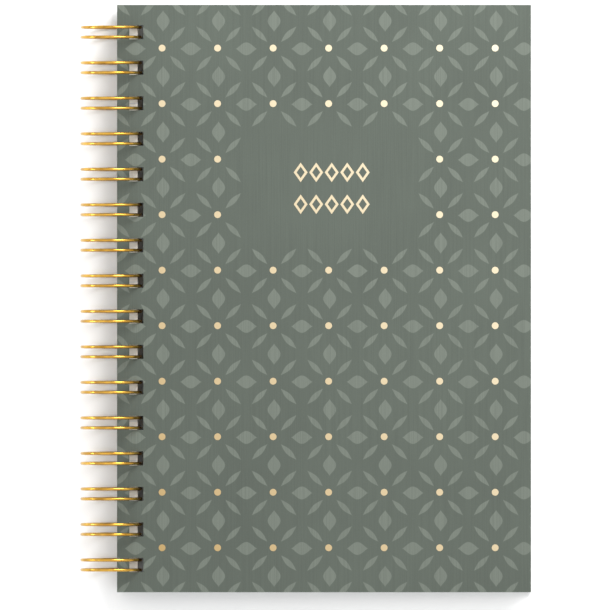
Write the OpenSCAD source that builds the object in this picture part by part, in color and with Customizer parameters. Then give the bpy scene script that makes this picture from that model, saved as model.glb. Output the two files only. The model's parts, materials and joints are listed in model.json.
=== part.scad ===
// Hard-cover notebook bound with a twin-loop wire.
// The notebook lies closed, front cover up: X runs from the loops to the fore edge, Y from tail
// to head, Z up. The origin is below the middle of the whole notebook, level with the lowest
// point of the loops.

/* [Covers] */
// Width of each cover, from the binding edge to the fore edge
cover_w = 148; // [110:1:190]
// Height of each cover, from tail to head
cover_h = 210; // [140:1:270]
// Thickness of the grey board in each cover
board_t = 2.0; // [1:0.1:3]
// Thickness of the printed paper wrapped round each board
wrap_t = 0.2; // [0.1:0.05:0.4]
// Width of the printed paper turned in over the inside of the board
turn_in_w = 15; // [11:1:25]
// Thickness of the lining paper pasted inside each cover
lining_t = 0.15; // [0.1:0.05:0.3]
// Distance from a cover's edges to its lining's edges
lining_inset = 3; // [1:0.5:4]

/* [Sheets] */
// Number of loose sheets
sheet_count = 24; // [8:1:40]
// Thickness of one sheet
sheet_t = 0.25; // [0.1:0.05:0.35]
// How much narrower the sheets are than the covers
sheet_trim_w = 7; // [4:0.5:12]
// How much shorter the sheets are than the covers
sheet_trim_h = 6; // [2:0.5:8]

/* [Holes] */
// Distance between neighbouring holes, centre to centre
hole_pitch = 12.7; // [8.4:0.1:16]
// Width of the strip between the binding edge and the holes
hole_margin = 4.4; // [3:0.1:5.5]
// Least distance from a cover's head or tail to the centre of its first hole
end_margin = 8; // [7:0.5:15]

/* [Wire loops] */
// Outside diameter of the loops
loop_d = 22.2; // [18:0.1:27]
// Diameter of the wire
wire_d = 1.1; // [0.8:0.05:1.4]
// Distance between the two wires of one loop, centre to centre
twin_gap = 3.54; // [2.8:0.02:4.4]
// Space left open between the two ends of a closed loop
seam_gap = 2.0; // [1.2:0.1:4]
// Angle of the loops' seam below the horizontal, under the back cover
seam_drop = 72; // [68:1:80]

/* [Foil dots] */
// Diameter of a dot
dot_d = 2.45; // [1.5:0.05:4]
// Distance between neighbouring dots
dot_pitch = 19.85; // [12:0.05:30]
// Distance from the binding edge to the first column of dots
dot_first_x = 16.1; // [13:0.05:25]
// Distance from the head of the cover to the first row of dots
dot_first_y = 15.45; // [8:0.05:25]
// Least distance from the last dots to the fore edge and the tail
dot_end_margin = 8; // [4:1:15]
// Thickness of the foil
foil_t = 0.05; // [0.03:0.01:0.1]

/* [Foil emblem] */
// Width of one lozenge
lozenge_w = 5.0; // [3:0.1:6]
// Height of one lozenge
lozenge_h = 7.0; // [4:0.1:8]
// Width of the foil line that draws a lozenge
lozenge_line = 0.85; // [0.6:0.05:1.4]
// Lozenges in each row
lozenge_count = 5; // [3:1:5]
// Space between two neighbouring lozenges
lozenge_gap = 0.55; // [0.3:0.05:1.5]
// Space between the two rows
row_gap = 4.4; // [1:0.1:6]
// How far the emblem sits from the middle of the space among the dots, towards the fore edge
emblem_shift_x = 1.1; // [-2:0.1:2]
// How far the emblem sits from the middle of that space, towards the tail
emblem_shift_y = 0.5; // [-2:0.1:2]

/* [Hidden] */
$fn = 48;

// Colours
board_colour = [0.55, 0.53, 0.50];
cover_colour = [0.42, 0.46, 0.41];
lining_colour = [0.93, 0.92, 0.88];
foil_colour = [0.90, 0.80, 0.58];
page_colour = [0.96, 0.95, 0.91];
wire_colour = [0.80, 0.62, 0.20];

// Clearances
side_gap = 0.18;      // from a twin wire to the side of its hole
pull_gap = 0.4;       // from the loops to the far side of the covers' holes
lift_gap = 0.33;      // from the loops to the near side of the back cover's holes
sheet_gap = 0.5;      // from the loops to the near side of the sheets' holes
air = 0.01;           // between neighbouring sheets, and between them and the covers
punch = 1;            // how far a cutting solid runs past the faces it cuts
link_step = 0.1;      // how much thinner the wire between two arcs is than the arcs
link_inset = 0.2;     // from an arc's end to the wire that joins it to the next arc

// Holes
hole_size = twin_gap + wire_d + 2 * side_gap;
hole_count = floor((cover_h - 2 * end_margin) / hole_pitch) + 1;
function hole_y(i) = (i - (hole_count - 1) / 2) * hole_pitch;

// Loops, about their own centre line
loop_r = loop_d / 2;
ring_r = loop_r - wire_d / 2;
inner_r = loop_r - wire_d;
loop_offset = loop_r + pull_gap - hole_margin - hole_size;
hole_near = loop_offset + hole_margin;
back_drop = sqrt(pow(inner_r, 2) - pow(hole_near + lift_gap, 2));
seam_angle = seam_gap / ring_r * 180 / PI;
loop_start = -seam_drop + seam_angle / 2;
loop_sweep = 360 - seam_angle;
link_d = wire_d - link_step;
link_angle = (link_d / 2 + link_inset) / ring_r * 180 / PI;

// The whole notebook
total_w = loop_r + loop_offset + cover_w;
loop_x = loop_r - total_w / 2;
loop_z = loop_r;
edge_x = loop_x + loop_offset;
cover_t = board_t + 2 * wrap_t + lining_t;
back_z = loop_z - back_drop;
sheets_z = back_z + cover_t;
leaf_pitch = sheet_t + air;
front_z = sheets_z + sheet_count * leaf_pitch + air;
top_z = front_z + cover_t;

// Dots and emblem
dot_columns = floor((cover_w - dot_first_x - dot_end_margin) / dot_pitch) + 1;
dot_rows = floor((cover_h - dot_first_y - dot_end_margin) / dot_pitch) + 1;
window_columns = [2, 4];
window_rows = [2, 3];
function dot_x(c) = edge_x + dot_first_x + c * dot_pitch;
function dot_y(r) = cover_h / 2 - dot_first_y - r * dot_pitch;
function within(i, ends) = i >= ends[0] && i <= ends[1];
function in_window(c, r) = within(c, window_columns) && within(r, window_rows);
emblem_x = (dot_x(window_columns[0]) + dot_x(window_columns[1])) / 2 + emblem_shift_x;
emblem_y = (dot_y(window_rows[0]) + dot_y(window_rows[1])) / 2 - emblem_shift_y;

// Sheets are numbered from the top of the closed notebook
function two_digits(i) = str(i < 10 ? "0" : "", i);
function sheet_name(i) = str("sheet_", two_digits(i));
function sheet_z(i) = front_z - i * leaf_pitch;

// Inside face of the loops at a sheet's height, level with whichever of its faces is further out
function reach(z) = max(abs(z - loop_z), abs(z + sheet_t - loop_z));
function sheet_hole_x(i) = loop_x + sqrt(pow(inner_r, 2) - pow(reach(sheet_z(i)), 2)) - sheet_gap;

SHEETS = [for (i = [1 : sheet_count]) sheet_name(i)];
FIXED = ["back_board", "back_wrap", "back_lining", "front_board", "front_wrap", "front_lining",
         "foil_dots", "foil_emblem", "binding_wire"];

// A flat slab that starts at a binding edge and is centred on Y
module slab(x, z, w, h, t) {
    translate([x, -h / 2, z]) cube([w, h, t]);
}

// Square punch for every loop, starting at x and cutting from z through t
module hole_row(x, z, t) {
    for (i = [0 : hole_count - 1])
        translate([x, hole_y(i) - hole_size / 2, z - punch])
            cube([hole_size, hole_size, t + 2 * punch]);
}

// Turns a back cover piece, drawn with its outside face down at z = 0, over for the front cover
module as_front() {
    translate([0, 0, top_z]) mirror([0, 0, 1]) children();
}

module as_back() {
    translate([0, 0, back_z]) children();
}

// Grey board, with the printed paper's thickness left free round it
module board() {
    difference() {
        slab(edge_x + wrap_t, wrap_t, cover_w - 2 * wrap_t, cover_h - 2 * wrap_t, board_t);
        hole_row(edge_x + hole_margin, 0, cover_t);
    }
}

// Printed paper: outside face, four edges and the turned-in border
module wrap() {
    wrapped_t = board_t + 2 * wrap_t;
    difference() {
        slab(edge_x, 0, cover_w, cover_h, wrapped_t);
        slab(edge_x + wrap_t, wrap_t, cover_w - 2 * wrap_t, cover_h - 2 * wrap_t, board_t);
        slab(edge_x + turn_in_w, wrap_t, cover_w - 2 * turn_in_w, cover_h - 2 * turn_in_w, cover_t);
        hole_row(edge_x + hole_margin, 0, cover_t);
    }
}

// Lining paper: laps over the turned-in border and dips to the board inside it
module lining() {
    lap_z = board_t + 2 * wrap_t;
    board_z = board_t + wrap_t;
    window_w = cover_w - 2 * turn_in_w;
    window_h = cover_h - 2 * turn_in_w;
    difference() {
        union() {
            slab(edge_x + lining_inset, lap_z, cover_w - 2 * lining_inset,
                 cover_h - 2 * lining_inset, lining_t);
            slab(edge_x + turn_in_w, board_z, window_w, window_h, lining_t + wrap_t);
        }
        slab(edge_x + turn_in_w + lining_t, board_z + lining_t, window_w - 2 * lining_t,
             window_h - 2 * lining_t, cover_t);
        hole_row(edge_x + hole_margin, 0, cover_t);
    }
}

module back_board() {
    color(board_colour) as_back() board();
}

module back_wrap() {
    color(cover_colour) as_back() wrap();
}

module back_lining() {
    color(lining_colour) as_back() lining();
}

module front_board() {
    color(board_colour) as_front() board();
}

module front_wrap() {
    color(cover_colour) as_front() wrap();
}

module front_lining() {
    color(lining_colour) as_front() lining();
}

module foil_dots() {
    color(foil_colour)
        for (c = [0 : dot_columns - 1], r = [0 : dot_rows - 1])
            if (!in_window(c, r))
                translate([dot_x(c), dot_y(r), top_z]) cylinder(d = dot_d, h = foil_t);
}

module lozenge(w, h) {
    polygon([[w / 2, 0], [0, h / 2], [-w / 2, 0], [0, -h / 2]]);
}

// One open lozenge: the inner outline keeps the line's width on all four sides
module lozenge_ring() {
    side = sqrt(pow(lozenge_w, 2) + pow(lozenge_h, 2));
    shrink = 1 - 2 * lozenge_line * side / (lozenge_w * lozenge_h);
    difference() {
        lozenge(lozenge_w, lozenge_h);
        lozenge(lozenge_w * shrink, lozenge_h * shrink);
    }
}

module foil_emblem() {
    step_x = lozenge_w + lozenge_gap;
    step_y = lozenge_h + row_gap;
    color(foil_colour)
        for (c = [0 : lozenge_count - 1], r = [-0.5, 0.5])
            translate([emblem_x + (c - (lozenge_count - 1) / 2) * step_x, emblem_y + r * step_y, top_z])
                linear_extrude(foil_t) lozenge_ring();
}

module sheet(i) {
    color(page_colour)
        difference() {
            slab(sheet_hole_x(i) - hole_margin, sheet_z(i), cover_w - sheet_trim_w,
                 cover_h - sheet_trim_h, sheet_t);
            hole_row(sheet_hole_x(i), sheet_z(i), sheet_t);
        }
}

// Stands a shape up in the plane of the loops: its X axis points out from the loops' centre at
// this angle, its Y axis runs round the loop and its Z axis points to the tail
module on_ring(y, angle) {
    translate([loop_x, y, loop_z]) rotate([90, 0, 0]) rotate([0, 0, angle]) children();
}

// Two arcs of one loop, and the short wire that joins their far ends
module loop(y) {
    for (side = [-1, 1])
        on_ring(y + side * twin_gap / 2, loop_start)
            rotate_extrude(angle = loop_sweep) translate([ring_r, 0]) circle(d = wire_d);
    link(y - twin_gap / 2, loop_start + loop_sweep - link_angle, twin_gap);
}

// Straight wire along Y between two arcs, a little thinner than they are
module link(y, angle, length) {
    on_ring(y + length, angle) translate([ring_r, 0, 0]) cylinder(d = link_d, h = length);
}

module binding_wire() {
    color(wire_colour)
        union() {
            for (i = [0 : hole_count - 1]) loop(hole_y(i));
            for (i = [0 : hole_count - 2])
                link(hole_y(i) + twin_gap / 2, loop_start + link_angle, hole_pitch - twin_gap);
        }
}

back_board();
back_wrap();
back_lining();
front_board();
front_wrap();
front_lining();
foil_dots();
foil_emblem();
binding_wire();
for (i = [1 : sheet_count])
    sheet(i);
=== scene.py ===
import json
import math

import bpy
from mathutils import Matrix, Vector


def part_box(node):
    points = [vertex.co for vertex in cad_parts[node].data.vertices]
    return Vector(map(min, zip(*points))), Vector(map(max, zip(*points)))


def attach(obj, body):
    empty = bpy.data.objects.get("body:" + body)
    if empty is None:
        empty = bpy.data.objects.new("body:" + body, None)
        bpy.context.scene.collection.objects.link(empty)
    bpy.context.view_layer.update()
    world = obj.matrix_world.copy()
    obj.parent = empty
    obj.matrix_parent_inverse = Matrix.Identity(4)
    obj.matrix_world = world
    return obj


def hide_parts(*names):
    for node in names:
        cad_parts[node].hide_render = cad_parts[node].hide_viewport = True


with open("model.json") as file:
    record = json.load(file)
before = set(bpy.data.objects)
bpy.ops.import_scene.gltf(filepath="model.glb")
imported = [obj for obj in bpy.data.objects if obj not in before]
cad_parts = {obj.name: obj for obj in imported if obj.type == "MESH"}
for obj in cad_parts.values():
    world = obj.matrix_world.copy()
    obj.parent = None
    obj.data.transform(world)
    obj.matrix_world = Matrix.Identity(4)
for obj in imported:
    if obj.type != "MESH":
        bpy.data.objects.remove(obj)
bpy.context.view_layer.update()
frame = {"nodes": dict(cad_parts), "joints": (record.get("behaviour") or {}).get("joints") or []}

MM = 0.001

# Foil dots, as part.scad sets them
DOT_PITCH = 19.85 * MM
DOT_D = 2.45 * MM

# Printed leaves: their shift from the dots, and the blank window among them in whole dot pitches,
# its middle measured from the first dot
PRINT_SHIFT = Vector((0.35, -0.25, 0)) * MM
PRINT_EDGE = 0.06 * MM
THIN_LEAF = {"reach": 5.2 * MM, "length": 7.9 * MM, "width": 1.95 * MM, "point": 1.1}
FAT_LEAF = {"length": 7.7 * MM, "width": 4.6 * MM, "point": 1.35}
WINDOW_COLUMNS = 3
WINDOW_ROWS = 2
WINDOW_PLACE = Vector((3, -2.5, 0))

# Wire
WIRE_D = 1.1 * MM
TWIN_GAP = 3.54 * MM
LOOP_COUNT = 16
ROOT_BEND_R = 1.2 * MM
ROOT_ANGLE = math.radians(-58)
TIP_ANGLE = math.radians(293.5)
ARC_STEPS = 72
BEND_STEPS = 8

# Ruled sheets
RULE_PITCH = 7.1 * MM
RULE_W = 0.22 * MM
RULE_HEAD = 18 * MM
RULE_TAIL = 12 * MM

# Picture: the width that the frame shows at the cover, and how far above it the camera hangs
VIEW_W = 218.1 * MM
VIEW_CENTRE = Vector((-0.2, -2.3, 0)) * MM
CAMERA_HEIGHT = 10.0
SENSOR_MM = 36

# Light: a sky that is dimmer at the horizon, a soft key lamp over the head and fore edge, and a low
# rim lamp beside the loops that lights nothing matt and shows as a glint on the wire
SKY_HORIZON = 0.68
SKY_ZENITH = 1.48
KEY_PLACE = (0.24, 0.44, 0.46)
KEY_SIZE = 0.44
KEY_POWER = 4.8
RIM_PLACE = (-0.95, 0, 0.28)
RIM_SIZE = 0.22
RIM_POWER = 3
FLOOR_HALF = 4.0
CLIP_TIMES = 4

# Linear colours
SAGE = (0.068, 0.083, 0.067)
SAGE_DARK = (0.060, 0.073, 0.059)
# Sage in painted shade, for the low grooves between the ribs
SAGE_PAINTED_GROOVE_SHADE = (0.037, 0.046, 0.037)
LEAF = (0.112, 0.130, 0.108)
# Foil colours with painted light: pale under a painted highlight towards the head and fore edge, tan
# in painted shade towards the tail and spine
FOIL_HIGHLIGHT_PAINTED = (0.74, 0.68, 0.52)
FOIL_SHADE_PAINTED = (0.37, 0.24, 0.085)
GOLD = (0.70, 0.43, 0.08)
GOLD_DEEP = (0.42, 0.22, 0.03)
PAPER = (0.66, 0.645, 0.59)
PAPER_WARM = (0.61, 0.585, 0.53)
RULE_BLUE = (0.33, 0.38, 0.45)
# Grey board: its own grey, made darker as painted shade, since it shows only on the walls of the
# binding holes
BOARD_GREY_AND_HOLE_SHADE = (0.11, 0.10, 0.09)
BOARD_FIBRE_AND_HOLE_SHADE = (0.17, 0.155, 0.14)
FLOOR = (0.93, 0.935, 0.94)
FLOOR_DULL = (0.92, 0.925, 0.93)

# Textures: how fine each noise is, in features per metre, and how far it is stretched along an axis
RIB_SCALE = 1 / (0.42 * MM)
RIB_STRETCH = (1, 70, 1)
CLOUD_SCALE = 28
GRAIN_SCALE = 1 / (0.3 * MM)
SPECK_SCALE = 1 / (0.25 * MM)
PATCH_SCALE = 300
DRAWN_SCALE = 1 / (0.12 * MM)
DRAWN_STRETCH = (6, 1, 6)
SHEET_TONE_SCALE = 2600
SHEET_TONE_STRETCH = (900, 900, 1)
PAGE_FIBRE_SCALE = 1 / (0.35 * MM)
LINING_MOTTLE_SCALE = 160
LINING_FIBRE_SCALE = 1 / (0.4 * MM)
FLECK_SCALE = 1 / (0.5 * MM)
FLECK_STRETCH = (2, 2, 0.5)
FLOOR_SCALE = 3

# Noise values that a ramp runs between
SPREAD = (0.3, 0.7)
RIB_SPREAD = (0.3, 0.6)
PATCH_SPREAD = (0.3, 0.75)
FLECK_SPREAD = (0.35, 0.7)

# Strength of the effects: darkest and lightest ribs (the darker ribs a painted shade in their
# grooves), grain beside the ribs, ruling, and how much painted highlight pales the foil towards the
# fore edge and the head
RIB_PAINTED_GROOVE_SHADE = (0.76, 1.0)
GRAIN_SHARE = 0.3
RULE_STRENGTH = 0.75
PAINTED_HIGHLIGHT_ACROSS = 0.45
PAINTED_HIGHLIGHT_UP = 0.55

# Roughness: one value, or the two ends of a range
COVER_ROUGHNESS = (0.52, 0.68)
FOIL_ROUGHNESS = (0.30, 0.46)
WIRE_ROUGHNESS = (0.16, 0.28)
PAGE_ROUGHNESS = 0.85
LINING_ROUGHNESS = 0.8
BOARD_ROUGHNESS = 0.95
FLOOR_ROUGHNESS = 0.9
COVER_SPECULAR = 0.35
FLOOR_SPECULAR = 0.1

# Bumps: height and strength
COVER_BUMP = (0.05 * MM, 0.55)
FOIL_BUMP = (0.01 * MM, 0.4)
WIRE_BUMP = (0.006 * MM, 0.5)
PAGE_BUMP = (0.03 * MM, 0.35)
LINING_BUMP = (0.04 * MM, 0.4)
BOARD_BUMP = (0.08 * MM, 0.7)


def joint(name):
    """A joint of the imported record."""
    return next(j for j in frame["joints"] if j["name"] == name)


cover_low, cover_high = [Vector(v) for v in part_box("front_wrap")]
dots_low, dots_high = [Vector(v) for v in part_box("foil_dots")]
wire_low, wire_high = [Vector(v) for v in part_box("binding_wire")]
back_low = Vector(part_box("back_wrap")[0])
loop_centre = Vector(joint("front_cover_turn")["pos_m"])
loop_r = (wire_high.z - wire_low.z) / 2
first_dot = Vector((dots_low.x + DOT_D / 2, dots_high.y - DOT_D / 2, 0))
window_middle = first_dot + WINDOW_PLACE * DOT_PITCH


# --- Shader helpers ---------------------------------------------------------------------------

class Shader:
    """A new principled material, and short calls that add nodes to it."""

    def __init__(self, name, roughness=0.5, metallic=0.0):
        self.material = bpy.data.materials.new(name)
        self.material.use_nodes = True
        self.tree = self.material.node_tree
        self.bsdf = self.tree.nodes["Principled BSDF"]
        self.bsdf.inputs["Roughness"].default_value = roughness
        self.bsdf.inputs["Metallic"].default_value = metallic
        self.place = self.tree.nodes.new("ShaderNodeTexCoord").outputs["Object"]
        parts = self.tree.nodes.new("ShaderNodeSeparateXYZ")
        self.tree.links.new(self.place, parts.inputs[0])
        self.x, self.y = parts.outputs[:2]

    def put(self, value, socket):
        """Links a socket, or sets a constant."""
        if isinstance(value, bpy.types.NodeSocket):
            self.tree.links.new(value, socket)
        else:
            socket.default_value = value

    def math(self, operation, *values):
        """A maths node on sockets or numbers."""
        node = self.tree.nodes.new("ShaderNodeMath")
        node.operation = operation
        for value, socket in zip(values, node.inputs):
            self.put(value, socket)
        return node.outputs[0]

    def ramp(self, value, low, high, to_low=0.0, to_high=1.0):
        """Maps low..high onto to_low..to_high and stays inside them."""
        node = self.tree.nodes.new("ShaderNodeMapRange")
        for entry, socket in zip((value, low, high, to_low, to_high), node.inputs):
            self.put(entry, socket)
        return node.outputs[0]

    def mix(self, factor, first, second):
        """Blends two colours."""
        node = self.tree.nodes.new("ShaderNodeMix")
        node.data_type = "RGBA"
        self.put(factor, node.inputs["Factor"])
        sockets = [s for s in node.inputs if s.type == "RGBA"]
        for value, socket in zip((first, second), sockets):
            self.put(value if isinstance(value, bpy.types.NodeSocket) else (*value, 1.0), socket)
        return next(s for s in node.outputs if s.type == "RGBA")

    def noise(self, scale, detail=3.0, stretch=(1, 1, 1)):
        """Noise with features about 1 / scale long, and that many times longer along each axis."""
        mapping = self.tree.nodes.new("ShaderNodeMapping")
        mapping.inputs["Scale"].default_value = [scale / s for s in stretch]
        self.tree.links.new(self.place, mapping.inputs["Vector"])
        node = self.tree.nodes.new("ShaderNodeTexNoise")
        node.inputs["Scale"].default_value = 1.0
        node.inputs["Detail"].default_value = detail
        self.tree.links.new(mapping.outputs[0], node.inputs["Vector"])
        return node.outputs[0]

    def bump(self, height, distance, strength):
        """Drives the shader's normal from a height of 0 to 1."""
        node = self.tree.nodes.new("ShaderNodeBump")
        node.inputs["Strength"].default_value = strength
        node.inputs["Distance"].default_value = distance
        self.put(height, node.inputs["Height"])
        self.tree.links.new(node.outputs[0], self.bsdf.inputs["Normal"])

    def colour(self, value):
        self.put(value, self.bsdf.inputs["Base Color"])

    def roughness(self, value):
        self.put(value, self.bsdf.inputs["Roughness"])


def leaf(s, along, across, length, width, point):
    """1 inside a pointed leaf, 0 outside it. A higher point makes its tips longer and finer."""
    turn = s.math("MULTIPLY", along, math.pi / length)
    crown = s.math("MAXIMUM", s.math("COSINE", turn), 0.0)
    half_w = s.math("MULTIPLY", s.math("POWER", crown, point), width / 2)
    depth = s.math("SUBTRACT", half_w, s.math("ABSOLUTE", across))
    inside = s.math("LESS_THAN", s.math("ABSOLUTE", along), length / 2)
    return s.math("MULTIPLY", s.ramp(depth, -PRINT_EDGE, PRINT_EDGE), inside)


def outside_box(s, dx, dy, half_x, half_y):
    """0 where a point is nearer than half_x and half_y to the window's middle, 1 elsewhere."""
    in_x = s.math("LESS_THAN", s.math("ABSOLUTE", dx), half_x)
    in_y = s.math("LESS_THAN", s.math("ABSOLUTE", dy), half_y)
    return s.math("SUBTRACT", 1.0, s.math("MULTIPLY", in_x, in_y))


def leaf_pattern(s, middle):
    """The printed leaves: four thin ones round each dot, a fat one between each two dots."""
    start = first_dot + PRINT_SHIFT
    x = s.math("SUBTRACT", s.x, start.x)
    y = s.math("SUBTRACT", s.y, start.y)
    half = DOT_PITCH / 2
    u = s.math("PINGPONG", x, half)
    v = s.math("PINGPONG", y, half)
    du = s.math("SUBTRACT", u, THIN_LEAF["reach"])
    dv = s.math("SUBTRACT", v, THIN_LEAF["reach"])
    along = s.math("MULTIPLY", s.math("ADD", du, dv), math.sqrt(0.5))
    across = s.math("MULTIPLY", s.math("SUBTRACT", du, dv), math.sqrt(0.5))
    shape = THIN_LEAF["length"], THIN_LEAF["width"], THIN_LEAF["point"]
    thin = leaf(s, along, across, *shape)
    shape = FAT_LEAF["length"], FAT_LEAF["width"], FAT_LEAF["point"]
    level = leaf(s, s.math("SUBTRACT", u, half), v, *shape)
    upright = leaf(s, s.math("SUBTRACT", v, half), u, *shape)
    if middle:
        dx = s.math("SUBTRACT", s.x, middle.x + PRINT_SHIFT.x)
        dy = s.math("SUBTRACT", s.y, middle.y + PRINT_SHIFT.y)
        half_x = WINDOW_COLUMNS * half
        half_y = WINDOW_ROWS * half
        tip = FAT_LEAF["length"] / 2
        thin = s.math("MULTIPLY", thin, outside_box(s, dx, dy, half_x, half_y))
        level = s.math("MULTIPLY", level, outside_box(s, dx, dy, half_x + tip, half_y))
        upright = s.math("MULTIPLY", upright, outside_box(s, dx, dy, half_x, half_y + tip))
    return s.math("MAXIMUM", thin, s.math("MAXIMUM", level, upright))


# --- Materials --------------------------------------------------------------------------------

def cover_paper(name, middle=None):
    """Matt sage paper with fine ribs down its length, their grooves darkened by painted shade, and
    the leaves printed a shade lighter.
    """
    s = Shader(name)
    ribs = s.noise(RIB_SCALE, detail=2.0, stretch=RIB_STRETCH)
    cloud = s.noise(CLOUD_SCALE)
    grain = s.noise(GRAIN_SCALE, detail=1.0)
    ground = s.mix(s.ramp(cloud, *SPREAD), SAGE_DARK, SAGE)
    printed = s.mix(leaf_pattern(s, middle), ground, LEAF)
    shade = s.ramp(ribs, *RIB_SPREAD, *RIB_PAINTED_GROOVE_SHADE)
    # Painted shade: the low ribs, which the bump sinks into grooves, are darkened towards the
    # deepest sage
    s.colour(s.mix(shade, SAGE_PAINTED_GROOVE_SHADE, printed))
    s.roughness(s.ramp(grain, *SPREAD, *COVER_ROUGHNESS))
    s.bump(s.math("ADD", ribs, s.math("MULTIPLY", grain, GRAIN_SHARE)), *COVER_BUMP)
    s.bsdf.inputs["Specular IOR Level"].default_value = COVER_SPECULAR
    return s.material


def foil(name):
    """Hot-stamped gold foil, with a painted highlight that pales it towards the head and the fore
    edge.
    """
    s = Shader(name, metallic=1.0)
    # Painted highlight: tan towards the tail and spine, pale towards the head and fore edge, where
    # the key lamp hangs
    across = s.ramp(s.x, cover_low.x, cover_high.x, 0.0, PAINTED_HIGHLIGHT_ACROSS)
    highlight_up = s.ramp(s.y, cover_low.y, cover_high.y, 0.0, PAINTED_HIGHLIGHT_UP)
    s.colour(s.mix(s.math("ADD", across, highlight_up), FOIL_SHADE_PAINTED, FOIL_HIGHLIGHT_PAINTED))
    speck = s.noise(SPECK_SCALE, detail=2.0)
    s.roughness(s.ramp(speck, *SPREAD, *FOIL_ROUGHNESS))
    s.bump(speck, *FOIL_BUMP)
    return s.material


def gold_wire(name):
    """Bright gold-coated wire with faint drawing lines and duller patches."""
    s = Shader(name, metallic=1.0)
    patch = s.noise(PATCH_SCALE)
    lines = s.noise(DRAWN_SCALE, detail=2.0, stretch=DRAWN_STRETCH)
    s.colour(s.mix(s.ramp(patch, *PATCH_SPREAD), GOLD_DEEP, GOLD))
    s.roughness(s.ramp(patch, *SPREAD, *WIRE_ROUGHNESS))
    s.bump(lines, *WIRE_BUMP)
    return s.material


def page_paper(name):
    """Cream writing paper, faintly ruled, each sheet a touch different in tone."""
    s = Shader(name, roughness=PAGE_ROUGHNESS)
    low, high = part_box("sheet_01")
    tone = s.noise(SHEET_TONE_SCALE, detail=0.0, stretch=SHEET_TONE_STRETCH)
    fibre = s.noise(PAGE_FIBRE_SCALE, detail=4.0)
    ground = s.mix(s.ramp(tone, *SPREAD), PAPER_WARM, PAPER)
    from_head = s.math("SUBTRACT", high[1] - RULE_HEAD, s.y)
    near = s.math("LESS_THAN", s.math("PINGPONG", from_head, RULE_PITCH / 2), RULE_W / 2)
    ruled = s.math("MULTIPLY", near, s.math("GREATER_THAN", from_head, -RULE_W))
    ruled = s.math("MULTIPLY", ruled, s.math("GREATER_THAN", s.y, low[1] + RULE_TAIL))
    s.colour(s.mix(s.math("MULTIPLY", ruled, RULE_STRENGTH), ground, RULE_BLUE))
    s.bump(fibre, *PAGE_BUMP)
    return s.material


def lining_paper(name):
    """Warm white endpaper with a soft mottle."""
    s = Shader(name, roughness=LINING_ROUGHNESS)
    mottle = s.noise(LINING_MOTTLE_SCALE, detail=4.0)
    s.colour(s.mix(s.ramp(mottle, *SPREAD), PAPER_WARM, PAPER))
    s.bump(s.noise(LINING_FIBRE_SCALE, detail=4.0), *LINING_BUMP)
    return s.material


def grey_board(name):
    """Raw grey board: matted fibres with lighter flecks, darkened beyond its own grey as painted
    shade for the binding holes, where alone it shows.
    """
    s = Shader(name, roughness=BOARD_ROUGHNESS)
    fleck = s.noise(FLECK_SCALE, detail=5.0, stretch=FLECK_STRETCH)
    s.colour(s.mix(s.ramp(fleck, *FLECK_SPREAD), BOARD_GREY_AND_HOLE_SHADE, BOARD_FIBRE_AND_HOLE_SHADE))
    s.bump(fleck, *BOARD_BUMP)
    return s.material


def floor_surface(name):
    """Plain pale floor."""
    s = Shader(name, roughness=FLOOR_ROUGHNESS)
    s.colour(s.mix(s.ramp(s.noise(FLOOR_SCALE, detail=2.0), *SPREAD), FLOOR_DULL, FLOOR))
    s.bsdf.inputs["Specular IOR Level"].default_value = FLOOR_SPECULAR
    return s.material


def dress(node, material):
    """Gives a CAD node one material all over."""
    mesh = frame["nodes"][node].data
    mesh.materials.clear()
    mesh.materials.append(material)


# --- Pieces -----------------------------------------------------------------------------------

def loop_path(y, is_first, is_last):
    """One double loop unrolled flat: (distance round the loop, place along Y)."""
    ring_r = loop_r - WIRE_D / 2
    half = TWIN_GAP / 2
    top = (TIP_ANGLE - ROOT_ANGLE) * ring_r - half
    points = []
    if not is_first:
        for i in range(BEND_STEPS):
            a = math.pi / 2 * i / BEND_STEPS
            along = -ROOT_BEND_R * math.cos(a)
            points.append((along, y - half - ROOT_BEND_R + ROOT_BEND_R * math.sin(a)))
    points += [(top * i / ARC_STEPS, y - half) for i in range(ARC_STEPS)]
    for i in range(2 * BEND_STEPS + 1):
        a = math.pi * i / (2 * BEND_STEPS)
        points.append((top + half * math.sin(a), y - half * math.cos(a)))
    points += [(top * (1 - i / ARC_STEPS), y + half) for i in range(1, ARC_STEPS + 1)]
    if not is_last:
        for i in range(1, BEND_STEPS + 1):
            a = math.pi / 2 * i / BEND_STEPS
            along = -ROOT_BEND_R * math.sin(a)
            points.append((along, y + half + ROOT_BEND_R - ROOT_BEND_R * math.cos(a)))
    return points


def wire_loops(material):
    """The binding's one continuous wire, bent into sixteen double loops."""
    ring_r = loop_r - WIRE_D / 2
    length = wire_high.y - wire_low.y - TWIN_GAP - WIRE_D
    middle_y = (wire_high.y + wire_low.y) / 2
    path = []
    for i in range(LOOP_COUNT):
        y = middle_y + length * (i / (LOOP_COUNT - 1) - 0.5)
        path += loop_path(y, i == 0, i == LOOP_COUNT - 1)
    curve = bpy.data.curves.new("wire_loops", "CURVE")
    curve.dimensions = "3D"
    curve.bevel_depth = WIRE_D / 2
    curve.bevel_resolution = 4
    curve.use_fill_caps = True
    spline = curve.splines.new("POLY")
    spline.points.add(len(path) - 1)
    for point, (along, y) in zip(spline.points, path):
        angle = ROOT_ANGLE + along / ring_r
        out = ring_r * math.cos(angle)
        rise = ring_r * math.sin(angle)
        point.co = (loop_centre.x + out, y, loop_centre.z + rise, 1.0)
    spline.use_smooth = True
    piece = bpy.data.objects.new("wire_loops", curve)
    bpy.context.collection.objects.link(piece)
    curve.materials.append(material)
    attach(piece, "wire")
    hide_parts("binding_wire")


# --- Floor, light and camera ------------------------------------------------------------------

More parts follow.
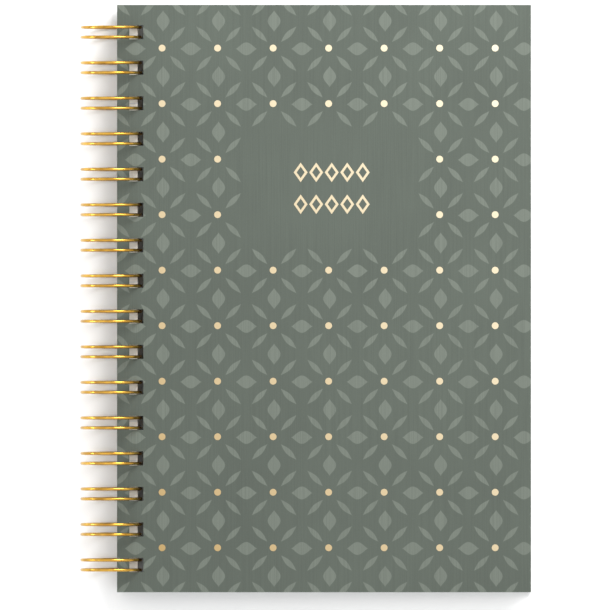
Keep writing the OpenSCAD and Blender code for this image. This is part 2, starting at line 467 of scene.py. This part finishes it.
def floor_tilt():
    """Slope at which a floor touches both the loops and the back cover's fore edge."""
    reach = Vector((cover_high.x - loop_centre.x, 0, loop_centre.z - back_low.z))
    return math.asin(loop_r / reach.length) - math.atan2(reach.z, reach.x)


def make_floor():
    """A wide floor that the notebook rests on, by its loops and its fore edge."""
    tilt = floor_tilt()
    mesh = bpy.data.meshes.new("floor")
    corners = [(FLOOR_HALF * i, FLOOR_HALF * j, 0) for i, j in ((-1, -1), (1, -1), (1, 1), (-1, 1))]
    mesh.from_pydata(corners, [], [(0, 1, 2, 3)])
    piece = bpy.data.objects.new("floor", mesh)
    foot = loop_centre + loop_r * Vector((math.sin(tilt), 0, -math.cos(tilt)))
    piece.location = foot
    piece.rotation_euler = (0, -tilt, 0)
    bpy.context.collection.objects.link(piece)
    mesh.materials.append(floor_surface("floor_surface"))


def area_light(name, place, size, power):
    """A round lamp aimed at the origin."""
    light = bpy.data.lights.new(name, "AREA")
    light.shape = "DISK"
    light.size = size
    light.energy = power
    piece = bpy.data.objects.new(name, light)
    piece.location = place
    piece.rotation_euler = Vector(place).to_track_quat("Z", "Y").to_euler()
    bpy.context.collection.objects.link(piece)
    return piece


def make_light():
    world = bpy.data.worlds.new("studio")
    world.use_nodes = True
    tree = world.node_tree
    parts = tree.nodes.new("ShaderNodeSeparateXYZ")
    tree.links.new(tree.nodes.new("ShaderNodeTexCoord").outputs["Generated"], parts.inputs[0])
    rise = tree.nodes.new("ShaderNodeMapRange")
    tree.links.new(parts.outputs["Z"], rise.inputs["Value"])
    rise.inputs["To Min"].default_value = SKY_HORIZON
    rise.inputs["To Max"].default_value = SKY_ZENITH
    background = tree.nodes["Background"]
    background.inputs["Color"].default_value = (1, 1, 1, 1)
    tree.links.new(rise.outputs[0], background.inputs["Strength"])
    bpy.context.scene.world = world
    area_light("key", KEY_PLACE, KEY_SIZE, KEY_POWER)
    rim = area_light("rim", RIM_PLACE, RIM_SIZE, RIM_POWER)
    rim.visible_diffuse = False


def make_camera():
    camera = bpy.data.cameras.new("camera")
    camera.sensor_width = SENSOR_MM
    camera.lens = SENSOR_MM * CAMERA_HEIGHT / VIEW_W
    camera.clip_end = CLIP_TIMES * CAMERA_HEIGHT
    piece = bpy.data.objects.new("camera", camera)
    piece.location = (VIEW_CENTRE.x, VIEW_CENTRE.y, cover_high.z + CAMERA_HEIGHT)
    bpy.context.collection.objects.link(piece)
    bpy.context.scene.camera = piece


make_camera()
make_light()
make_floor()
bpy.context.scene.view_settings.view_transform = "Standard"

dress("front_wrap", cover_paper("front_cover_paper", window_middle))
dress("back_wrap", cover_paper("back_cover_paper"))
gold_foil = foil("gold_foil")
dress("foil_dots", gold_foil)
dress("foil_emblem", gold_foil)
board_material = grey_board("grey_board")
lining_material = lining_paper("lining_paper")
for side in ("front", "back"):
    dress(f"{side}_board", board_material)
    dress(f"{side}_lining", lining_material)
sheet_material = page_paper("page_paper")
for name in frame["nodes"]:
    if name.startswith("sheet_"):
        dress(name, sheet_material)
wire_loops(gold_wire("gold_wire"))
